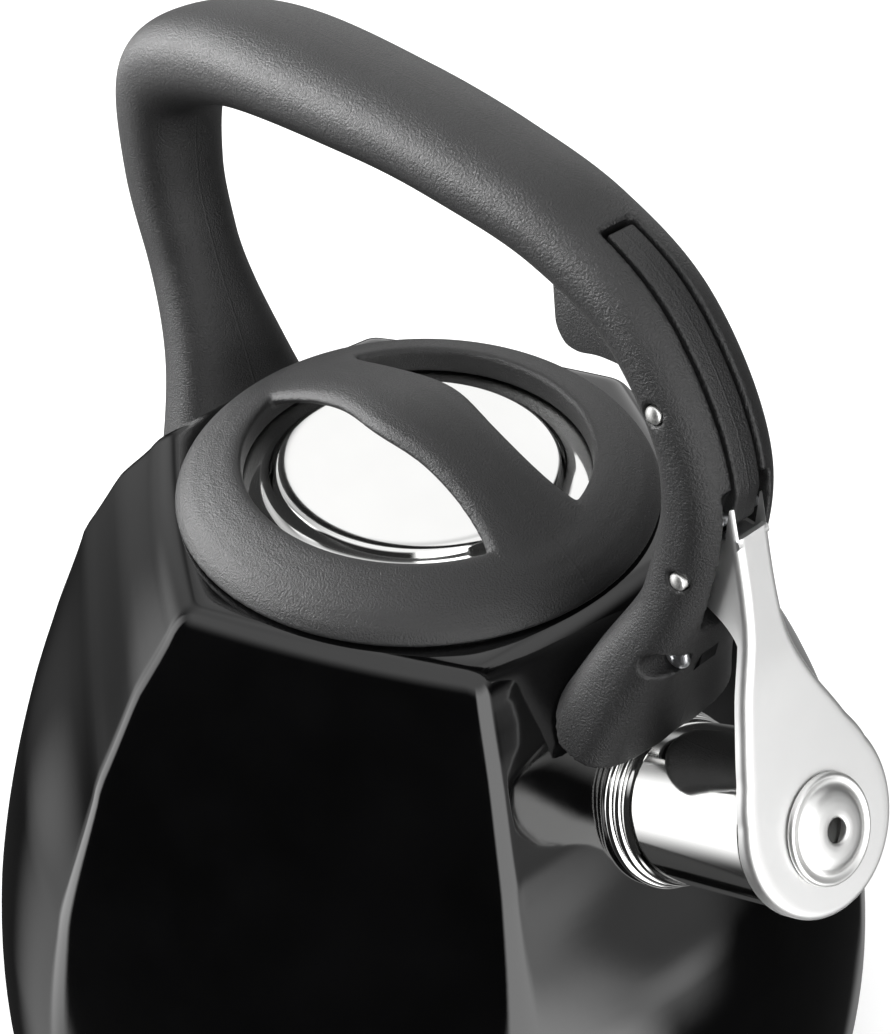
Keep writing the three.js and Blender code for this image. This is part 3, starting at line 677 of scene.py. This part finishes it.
def well_backing(centre):
    """How much thicker the inner face is behind the arm's well, in the front leg."""
    x, height = centre[0], centre[1] - RIM
    if x < 0:
        return 0
    return WELL_BACKING * smoothstep(height, 16, 28) * (1 - smoothstep(height, 40, 50))


def handle_section(u, sides):
    """A ring of points round the handle, a rounded box that squares up in the feet."""
    centre, tangent = handle_at(u)
    foot = foot_share(u)
    half = value_at(HALF_DEPTHS, u) + FOOT_GROWTH * foot
    grip = value_at(HALF_WIDTHS, u)
    width = grip + (FOOT_WIDTH - grip) * foot
    power = 2 / (2.3 + 0.9 * foot)
    backing = well_backing(centre)
    ring = []
    for a in angles(sides):
        c, s = math.cos(a), math.sin(a)
        out, side = np.sign(c) * abs(c) ** power * half, np.sign(s) * abs(s) ** power * width
        if c < 0:
            out -= backing * abs(c) ** (power / 4)
        ring.append((centre[0] - tangent[1] * out, side, centre[1] + tangent[0] * out))
    return ring


def lever_slot():
    """The groove in the outer face, the room below it and the opening for the finger tab."""
    groove = outer_face(SLOT_FROM - 0.003, LEVER_TO, -6, 24)
    cavity = raised([(90, 34), (67.6, 34), (67.6, 44), (63, 50.5), (58, 52), (56, 44), (35.6, 44),
                     (35.6, 70), (41, 70), (52.5, 65.5)])
    floor = outer_face(SLOT_FROM - 0.003, SLOT_FROM + 0.02, 4.6, 2)[::-1]
    return slab("slot", groove + cavity + floor, SLOT_WIDTH)


def handle():
    """The lofted grip, cut to fit the body, the spout, the lever, the arm, the pins and the screws."""
    grip = loft("handle_moulding", [handle_section(u, 96) for u in np.linspace(0, 1, 181)])
    well = raised([(90, 46), (90, 12.4), (80, 12.9), (73.4, 17.1), (67, 23.1), (66.6, 43), (73.4, 43)])
    cutters = [
        grown_body(),
        rod("collar", COLLAR_RADII[0] + 0.5, -COLLAR_BACK - 2, -COLLAR_FRONT + 0.5, ALONG_SPOUT),
        rod("tube", TUBE_RADIUS + 0.8, -COLLAR_BACK, -TUBE_FRONT, ALONG_SPOUT),
        lever_slot(), slab("well", well, NOTCH_WIDTH),
    ]
    for at in (TRIGGER_PIVOT, COVER_PIVOT):
        cutters.append(rod("pin_hole", PIN_RADIUS + GAP, -30, 30, across(at)))
    for at, side in ((FRONT_SCREW, -1), (REAR_SCREW, 1)):
        cutters.append(rod("screw_hole", SCREW_RADIUS + GAP, -4, 20, across(at, side)))
        cutters.append(rod("screw_seat", SCREW_HEAD + GAP, SCREW_SEAT, 30, across(at, side)))
    return moulded(cut(grip, cutters), 4)


finished(handle(), "kettle", PHENOLIC, "phenolic", "handle")

# ---- Screws and pins -------------------------------------------------------------------------------


def foot_screw(name, at, side):
    """Pan-head screw with a cross recess."""
    seat = SCREW_SEAT + GAP
    top = seat + 1.6
    profile = [(0, -2.2), (SCREW_RADIUS, -1.4), (SCREW_RADIUS, seat), (SCREW_HEAD, seat),
               (SCREW_HEAD, seat + 0.9), (SCREW_HEAD - 0.9, top), (0, top)]
    screw = turned(name, filleted(profile, 0.5, 4, closed=False), 64, across(at, side))
    bar = [(-1.5, top), (-0.35, top - 0.9), (0.35, top - 0.9), (1.5, top), (1.5, top + 1), (-1.5, top + 1)]
    rings = [[(x, y, z) for x, z in bar] for y in (-0.35, 0.35)]
    turns = [across(at, side) @ Matrix.Rotation(turn, 4, "Z") for turn in (0, math.pi / 2)]
    return cut(screw, [loft("recess", rings, matrix=turn) for turn in turns])


def pin(name, at):
    """A pin through both cheeks, with domed ends."""
    dome = 0.7
    turns = np.linspace(0, math.pi / 2, 8)[:-1]
    half = [(PIN_RADIUS * math.cos(t), PIN_REACH - dome * (1 - math.sin(t))) for t in turns]
    half.append((0, PIN_REACH))
    mirror = [(r, -z) for r, z in half][::-1]
    return turned(name, mirror + half, 64, across(at))


for name, at, side in (("front", FRONT_SCREW, -1), ("rear", REAR_SCREW, 1)):
    screw = foot_screw(name + "_screw", at, side)
    finished(screw, "kettle", ZINC, "zinc_steel", name + "_foot_screw")
for name, at in (("trigger", TRIGGER_PIVOT), ("cover", COVER_PIVOT)):
    finished(pin(name + "_pivot", at), "kettle", NICKEL, "mirror_steel", name + "_pin")

# ---- Trigger lever ---------------------------------------------------------------------------------


def trigger_lever():
    """A strip flush with the handle's outer face, with a finger tab below and a tail to the link."""
    strip = outer_face(SLOT_FROM, LEVER_TO, 0.4, 30)
    tab = raised([(77.4, 38.8), (77.3, 35.6), (74.4, 35.5), (73.1, 41.4), (71, 47.4), (68.2, 50.8),
                  (64.2, 50.9), (61, 52.6), (56.5, 53.6), (51.9, 53.4), (47.8, 52.9), (43.7, 51.5),
                  (40.8, 51.6), (38.4, 54.2), (37.2, 64.2), (44, 62.5), (54.5, 60.6), (57.2, 66)])
    back = outer_face(SLOT_FROM, SLOT_FROM + 0.02, 4, 2)[::-1]
    lever = slab("lever", filleted(strip + tab + back, 1.6, 4), LEVER_WIDTH)
    bevelled(lever, 0.5)
    holes = [rod("hole", PIN_RADIUS + GAP, -10, 10, across(TRIGGER_PIVOT)),
             rod("hole", LINK_RADIUS + GAP, -10, 10, across(LINK))]
    return cut(lever, holes)


def link_pin():
    reach = 4.4
    outline = [(0, -reach), (LINK_RADIUS, -reach), (LINK_RADIUS, reach), (0, reach)]
    return turned("link", filleted(outline, 0.3, 3, closed=False), 48, across(LINK))


finished(trigger_lever(), "trigger", PHENOLIC, "phenolic", "trigger_lever")
finished(link_pin(), "trigger", ZINC, "zinc_steel", "link_pin")

# ---- Cover arm -------------------------------------------------------------------------------------

# Distances go up the arm from the whistle's middle, and half widths and flange depths go by them.
ARM_BOTTOM, ARM_TOP = -14.7, 59.4
NECK_FROM = 9
ARM_WIDTHS = [(NECK_FROM, 15.16), (15, 12.6), (25, 8.4), (35, 4.9), (44, 3.9), (60, 3.9)]
FLANGE_DEPTHS = [(-20, 3.2), (4, 2.8), (14, 1.6), (34, 1.6), (38, 4.6),
                 (42.5, 10.6), (49, 10.8), (53, 6), (56, 5.4), (60, 5)]
DISC_CENTRE, DISC_RADIUS = 2, 16.7
TOP_ANGLE = math.radians(17)
BEND_FROM, BEND_TO = 20, 34
EDGE_ROLL = 1.5
# The CAD's flange is shallower low down, too shallow for this sheet to be given its thickness.
LEAST_FLANGE = 2.4


def arm_frames():
    """Places on the arm's front face, with their outward directions, by distance s up it."""
    step = 0.05
    stations = np.arange(ARM_BOTTOM - 2, ARM_TOP + 8, step)
    bends = np.array([smoothstep(s, BEND_FROM, BEND_TO) for s in stations])
    tilts = SPOUT_ANGLE + (TOP_ANGLE - SPOUT_ANGLE) * bends
    ups = np.c_[-np.sin(tilts), np.cos(tilts)]
    start = WHISTLE[[0, 2]] + ups[0] * stations[0]
    places = start + np.r_[[[0, 0]], np.cumsum(ups * step, axis=0)[:-1]]
    return stations, places, np.c_[np.cos(tilts), np.sin(tilts)]


ARM_STATIONS, ARM_PLACES, ARM_OUT = arm_frames()


def arm_point(s, y, out):
    """A point on the arm: s up it, y across it and out in front of its face."""
    x, z, ox, oz = (np.interp(s, ARM_STATIONS, v) for v in (*ARM_PLACES.T, *ARM_OUT.T))
    return (x + ox * out, y, z + oz * out)


def arm_half_width(s):
    """Half the arm's width, round the disc at its foot and up its neck."""
    if s < NECK_FROM:
        return math.sqrt(max(0, DISC_RADIUS ** 2 - (s - DISC_CENTRE) ** 2))
    return value_at(ARM_WIDTHS, s)


def arm_outline():
    """The right edge of the arm's face from its lowest point up, as (s, y) with outward normals."""
    low = math.acos((NECK_FROM - DISC_CENTRE) / DISC_RADIUS)
    turns = np.linspace(math.pi, low, 60)
    disc = [(DISC_CENTRE + DISC_RADIUS * math.cos(a), DISC_RADIUS * math.sin(a)) for a in turns]
    neck = [(s, arm_half_width(s)) for s in np.arange(NECK_FROM + 0.8, ARM_TOP + 0.1, 0.8)]
    line = np.array(disc + neck)
    along = np.gradient(line, axis=0)
    along[0] = (0, 1)
    along /= np.linalg.norm(along, axis=1)[:, None]
    return line, np.c_[-along[:, 1], along[:, 0]]


def cover_arm():
    """A pressed sheet: a flat face, a rolled edge and a flange turned back all round."""
    # Each row runs across the arm, from one flange's edge over the face to the other's.
    line, normal = arm_outline()
    columns = 12
    rows = []
    for (s, y), (ns, ny) in zip(line, normal):
        depth = max(value_at(FLANGE_DEPTHS, s), LEAST_FLANGE)
        half = []
        inner = (s - ns * EDGE_ROLL, max(0, y - ny * EDGE_ROLL))
        for k in range(columns + 1):
            half.append((inner[0], inner[1] * k / columns, 0))
        for t in np.radians(np.linspace(15, 90, 6)):
            reach = EDGE_ROLL * (math.sin(t) - 1)
            half.append((s + ns * reach, max(0, y + ny * reach), -EDGE_ROLL * (1 - math.cos(t))))
        for k in (0.35, 0.7, 1):
            half.append((s, y, -EDGE_ROLL - (depth - EDGE_ROLL) * k))
        left = [(a, -b, c) for a, b, c in half[:0:-1]]
        rows.append([arm_point(a, b, c) for a, b, c in left + half])
    count = len(rows[0])
    faces = [(i * count + j, i * count + j + 1, (i + 1) * count + j + 1, (i + 1) * count + j)
             for i in range(len(rows) - 1) for j in range(count - 1)]
    mesh = bpy.data.meshes.new("arm_press")
    mesh.from_pydata([tuple(v * MM for v in p) for row in rows for p in row], [], faces)
    arm = bpy.data.objects.new("arm_press", mesh)
    bpy.context.scene.collection.objects.link(arm)
    weld = arm.modifiers.new("weld", "WELD")
    weld.merge_threshold = 2e-5
    thick = arm.modifiers.new("sheet", "SOLIDIFY")
    thick.thickness = ARM_SHEET * MM
    thick.offset = -1
    thick.use_even_offset = True
    applied(arm)
    return arm


def fork_cutters():
    """What is cut from the arm: the gap between its ears, its two holes and the fork's slots."""
    stations = np.linspace(54.2, ARM_TOP + 4, 12)
    rings = []
    for s in stations:
        half = arm_half_width(min(s, ARM_TOP)) - ARM_SHEET
        rings.append([arm_point(s, y, n) for y, n in ((-half, 3), (half, 3), (half, -24), (-half, -24))])
    slot = filleted(raised([(74.4, 33.4), (77.3, 33.4), (77.3, 45.4), (74.4, 45.4)]), 0.8)
    return [
        loft("fork_gap", rings), rod("whistle_hole", WHISTLE_RADIUS + GAP, -6, 6, ALONG_SPOUT, 64),
        rod("pin_hole", PIN_RADIUS + GAP, -10, 10, across(COVER_PIVOT)), slab("fork_slot", slot, 20),
    ]


def curled_bar():
    """The rolled edge of the sheet between the ears."""
    radius = 0.9
    x, _, z = arm_point(53.2, 0, -radius)
    return rod("curl", radius, -3.5, 3.5, across((x, z - RIM)))


arm = cover_arm()
outwards(arm)
cut(arm, fork_cutters())
cut(arm, [curled_bar()], "UNION")
smooth(arm, 40)
finished(arm, "cover", SATIN, "satin_steel", "cover_arm")


def cover_spring():
    """Torsion spring on the cover's pin, with a leg in the well and a leg on the arm."""
    radius, wire, half_length = 3, 0.42, 2.3
    start, end = math.radians(30), math.radians(180 + 360 * 3)

    def point(angle, y, along=0):
        return (
            COVER_PIVOT[0] + radius * math.cos(angle) - along * math.sin(angle), y,
            RIM + COVER_PIVOT[1] + radius * math.sin(angle) + along * math.cos(angle),
        )

    path = [point(start, -half_length, -9), point(start, -half_length, -3)]
    path += [point(start + (end - start) * t, half_length * (2 * t - 1)) for t in np.linspace(0, 1, 91)]
    path.append(point(end, half_length, 4.6))
    curve = bpy.data.curves.new("spring_wire", "CURVE")
    curve.dimensions = "3D"
    curve.bevel_depth = wire * MM
    curve.bevel_resolution = 3
    curve.use_fill_caps = True
    spline = curve.splines.new("POLY")
    spline.points.add(len(path) - 1)
    for at, p in zip(spline.points, path):
        at.co = (*(v * MM for v in p), 1)
    bent = bpy.data.objects.new("spring_wire", curve)
    bpy.context.scene.collection.objects.link(bent)
    bpy.context.view_layer.update()
    mesh = bpy.data.meshes.new_from_object(bent.evaluated_get(bpy.context.evaluated_depsgraph_get()))
    bpy.data.objects.remove(bent)
    spring = bpy.data.objects.new("spring_wire", mesh)
    bpy.context.scene.collection.objects.link(spring)
    smooth(spring)
    return spring


finished(cover_spring(), "kettle", ZINC, "zinc_steel", "cover_spring")

# ---- Whistle ---------------------------------------------------------------------------------------


def whistle_front():
    """A shallow dome with the sound hole, in a rolled ring."""
    profile = [(SOUND_HOLE, 1.5), (SOUND_HOLE, 2.1), (2.5, 2.35), (3.4, 2.4), (4.6, 2.3), (5.6, 2.05),
               (6.4, 1.7), (7, 1.25), (7.6, 0.95), (8.2, 1.1), (8.7, 1.3), (9.1, 1.15), (9.4, 0.7),
               (9.4, GAP), (7.6, GAP), (6.8, 0.8), (5.4, 1.5)]
    return turned("whistle_dome", filleted(profile, 0.3, 3), 96, ALONG_SPOUT, 60)


def whistle_ring(name, profile, radius):
    """A turned ring behind the dome, its corners rounded by a radius."""
    return turned(name, filleted(profile, radius, 3), 72, ALONG_SPOUT)


sleeve = [(WHISTLE_RADIUS - 1, -3), (WHISTLE_RADIUS, -3), (WHISTLE_RADIUS, 0), (WHISTLE_RADIUS - 1, 0)]
plate = [(SOUND_HOLE, -4.1), (WHISTLE_RADIUS, -4.1), (WHISTLE_RADIUS, -3.3), (SOUND_HOLE, -3.3)]
seal = [(7.7, -1), (13.6, -1), (13.6, -2.6), (12.8, -3.3), (11.6, -3.3), (10.8, -2), (7.7, -2)]
finished(whistle_front(), "cover", SPUN, "mirror_steel", "whistle_front")
finished(whistle_ring("whistle_sleeve", sleeve, 0.2), "cover", SATIN, "satin_steel", "whistle_barrel")
finished(whistle_ring("whistle_plate", plate, 0.2), "cover", SATIN, "satin_steel", "whistle_back")
finished(whistle_ring("seal_ring", seal, 0.4), "cover", SILICONE, "silicone", "spout_seal")

# The pieces that stay inside keep their CAD shape.
for node, material in (("front_bracket", BLACKED), ("rear_bracket", BLACKED),
                       ("lid_screw_front", ZINC), ("lid_screw_rear", ZINC)):
    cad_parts[node].material_slots[0].material = material

# ---- Studio ----------------------------------------------------------------------------------------

# The even room above the floor and below it, and what reflections see where there is no panel.
ROOM_RADIANCE = 1.1
ROOM_BELOW = 0.15
MIRRORED_DARK = 0.02

# What reflections see, from the back to the front of the stack: each soft panel's radiance, then its
# azimuth and its elevation, each with a half size and a softness, in degrees.
PANELS = [
    (1.1, (0, 200, 8), (84, 36, 12)),
    (0.7, (0, 200, 8), (-88, 16, 6)),
    (3.1, (-13, 29, 5), (8, 44, 12)),
    (0.5, (-172, 18, 12), (22, 32, 28)),
    (0.35, (-150, 14, 8), (-40, 26, 10)),
    (1.5, (-154, 10, 8), (0, 16, 14)),
    (2.3, (-137, 13, 5), (0, 36, 20)),
    (1.6, (19, 9, 6), (-12, 9, 6)),
    (0.6, (24, 10, 6), (10, 14, 8)),
    (0.3, (108, 18, 6), (-20, 36, 10)),
    (1.15, (130, 24, 8), (22, 26, 6)),
    (0.7, (176, 12, 10), (30, 18, 12)),
]

# Where the camera stands from the middle of the rim, and how far it is turned from facing it.
VIEW_AZIMUTH, VIEW_ELEVATION = 50.55, 37.57
VIEW_DISTANCE = 318.6
VIEW_YAW, VIEW_PITCH, VIEW_ROLL = 0.93, 1.30, 1.93
VIEW_LENS = 57.26


def floor():
    """A wide pale floor that only the camera sees, with a faint glow that keeps it white."""
    reach = 12000
    corners = [(-reach, -reach, 0), (reach, -reach, 0), (reach, reach, 0), (-reach, reach, 0)]
    board = mesh_object("studio_floor", corners, [(0, 1, 2, 3)])
    n = Nodes("pale_paper")
    n.feed("Base Color", n.ramp(n.noise(3), (0.9, 0.9, 0.9), (0.93, 0.93, 0.93)))
    n.fix(Roughness=0.9, Emission_Color=(1, 1, 1, 1), Emission_Strength=0.3)
    board.data.materials.append(n.material)
    board.visible_glossy = False
    board.visible_diffuse = False


def light(name, place, target, size, power, receivers=None):
    """A soft lamp for its receivers, or one for everything that no surface mirrors."""
    data = bpy.data.lights.new(name, "AREA")
    data.shape = "RECTANGLE"
    data.size, data.size_y = size[0] * MM, size[1] * MM
    data.energy = power
    lamp = bpy.data.objects.new(name, data)
    lamp.location = Vector(place) * MM
    if receivers is None:
        lamp.visible_glossy = False
    else:
        lamp.light_linking.receiver_collection = bpy.data.collections.new(name)
        for obj in receivers:
            lamp.light_linking.receiver_collection.objects.link(obj)
    lamp.rotation_mode = "QUATERNION"
    lamp.rotation_quaternion = (Vector(place) - Vector(target)).to_track_quat("Z", "Y")
    bpy.context.scene.collection.objects.link(lamp)


def surroundings():
    """An even white room, and for reflections a dark one with soft panels."""
    world = bpy.data.worlds.new("studio")
    world.use_nodes = True
    tree = world.node_tree

    def number(operation, *values):
        """The result of a sum, whose terms are numbers or sockets."""
        node = tree.nodes.new("ShaderNodeMath")
        node.operation = operation
        for socket, value in zip(node.inputs, values):
            if isinstance(value, (int, float)):
                socket.default_value = value
            else:
                tree.links.new(value, socket)
        return node.outputs[0]

    def window(angle, half, soft):
        """1 inside a half angle and 0 outside, with soft edges."""
        node = tree.nodes.new("ShaderNodeMapRange")
        node.interpolation_type = "SMOOTHSTEP"
        node.inputs["From Min"].default_value = math.radians(half - soft)
        node.inputs["From Max"].default_value = math.radians(half + soft)
        node.inputs["To Min"].default_value = 1
        node.inputs["To Max"].default_value = 0
        tree.links.new(number("ABSOLUTE", angle), node.inputs["Value"])
        return node.outputs[0]

    split = tree.nodes.new("ShaderNodeSeparateXYZ")
    tree.links.new(tree.nodes.new("ShaderNodeTexCoord").outputs["Generated"], split.inputs[0])
    x, y, z = split.outputs
    elevation = number("ARCSINE", z)
    total = MIRRORED_DARK
    for radiance, (azimuth, half_width, soft_sides), (height, half_height, soft_ends) in PANELS:
        c, s = math.cos(math.radians(azimuth)), math.sin(math.radians(azimuth))
        ahead = number("ADD", number("MULTIPLY", x, c), number("MULTIPLY", y, s))
        aside = number("SUBTRACT", number("MULTIPLY", y, c), number("MULTIPLY", x, s))
        wide = window(number("ARCTAN2", aside, ahead), half_width, soft_sides)
        high = window(number("SUBTRACT", elevation, math.radians(height)), half_height, soft_ends)
        change = number("MULTIPLY", number("MULTIPLY", wide, high), number("SUBTRACT", radiance, total))
        total = number("ADD", total, change)
    mirrored = tree.nodes.new("ShaderNodeLightPath").outputs["Is Glossy Ray"]
    above = number("MULTIPLY", number("GREATER_THAN", z, 0), ROOM_RADIANCE - ROOM_BELOW)
    room = number("ADD", ROOM_BELOW, above)
    seen = number("ADD", room, number("MULTIPLY", mirrored, number("SUBTRACT", total, room)))
    tree.links.new(seen, tree.nodes["Background"].inputs["Strength"])
    tree.nodes["Background"].inputs["Color"].default_value = (1, 1, 1, 1)
    bpy.context.scene.world = world


def camera():
    """The photograph's view: a near camera, above and in front of the spout's right."""
    azimuth, elevation, yaw, pitch, roll = (
        math.radians(v) for v in (VIEW_AZIMUTH, VIEW_ELEVATION, VIEW_YAW, VIEW_PITCH, VIEW_ROLL)
    )
    level_out = math.cos(elevation)
    back = Vector((math.sin(azimuth) * level_out, -math.cos(azimuth) * level_out, math.sin(elevation)))
    right = Vector((math.cos(azimuth), math.sin(azimuth), 0))
    rows = Matrix((right, back.cross(right), back))
    for angle, axis in ((yaw, "Y"), (pitch, "X"), (roll, "Z")):
        rows = Matrix.Rotation(angle, 3, axis) @ rows
    data = bpy.data.cameras.new("camera")
    data.lens = VIEW_LENS
    data.sensor_width = 36
    data.clip_start, data.clip_end = 0.01, 20
    eye = bpy.data.objects.new("camera", data)
    place = (back * VIEW_DISTANCE + Vector((0, 0, RIM))) * MM
    eye.matrix_world = Matrix.Translation(place) @ rows.transposed().to_4x4()
    bpy.context.scene.collection.objects.link(eye)
    bpy.context.scene.camera = eye


floor()
surroundings()
mouldings = [obj for obj in bpy.data.objects if obj.type == "MESH" and PHENOLIC.name in obj.data.materials]
plates = [bpy.data.objects[name] for name in ("arm_press", "whistle_plate", "whistle_dome")]
light("key", (-450, -420, 800), (0, 0, 150), (500, 500), 4)
light("mouldings_key", (-780, -450, 480), (0, 0, 180), (600, 450), 17, mouldings)
light("plate_fill", (740, 480, 150), (100, 0, 150), (900, 900), 1.1, plates)
# Left out of reflections, so that the spout's and the lid's steel beside them stays bright.
for name in ("kettle_body", "lid_bridge"):
    bpy.data.objects[name].visible_glossy = False
bpy.context.scene.view_settings.view_transform = "Standard"
camera()
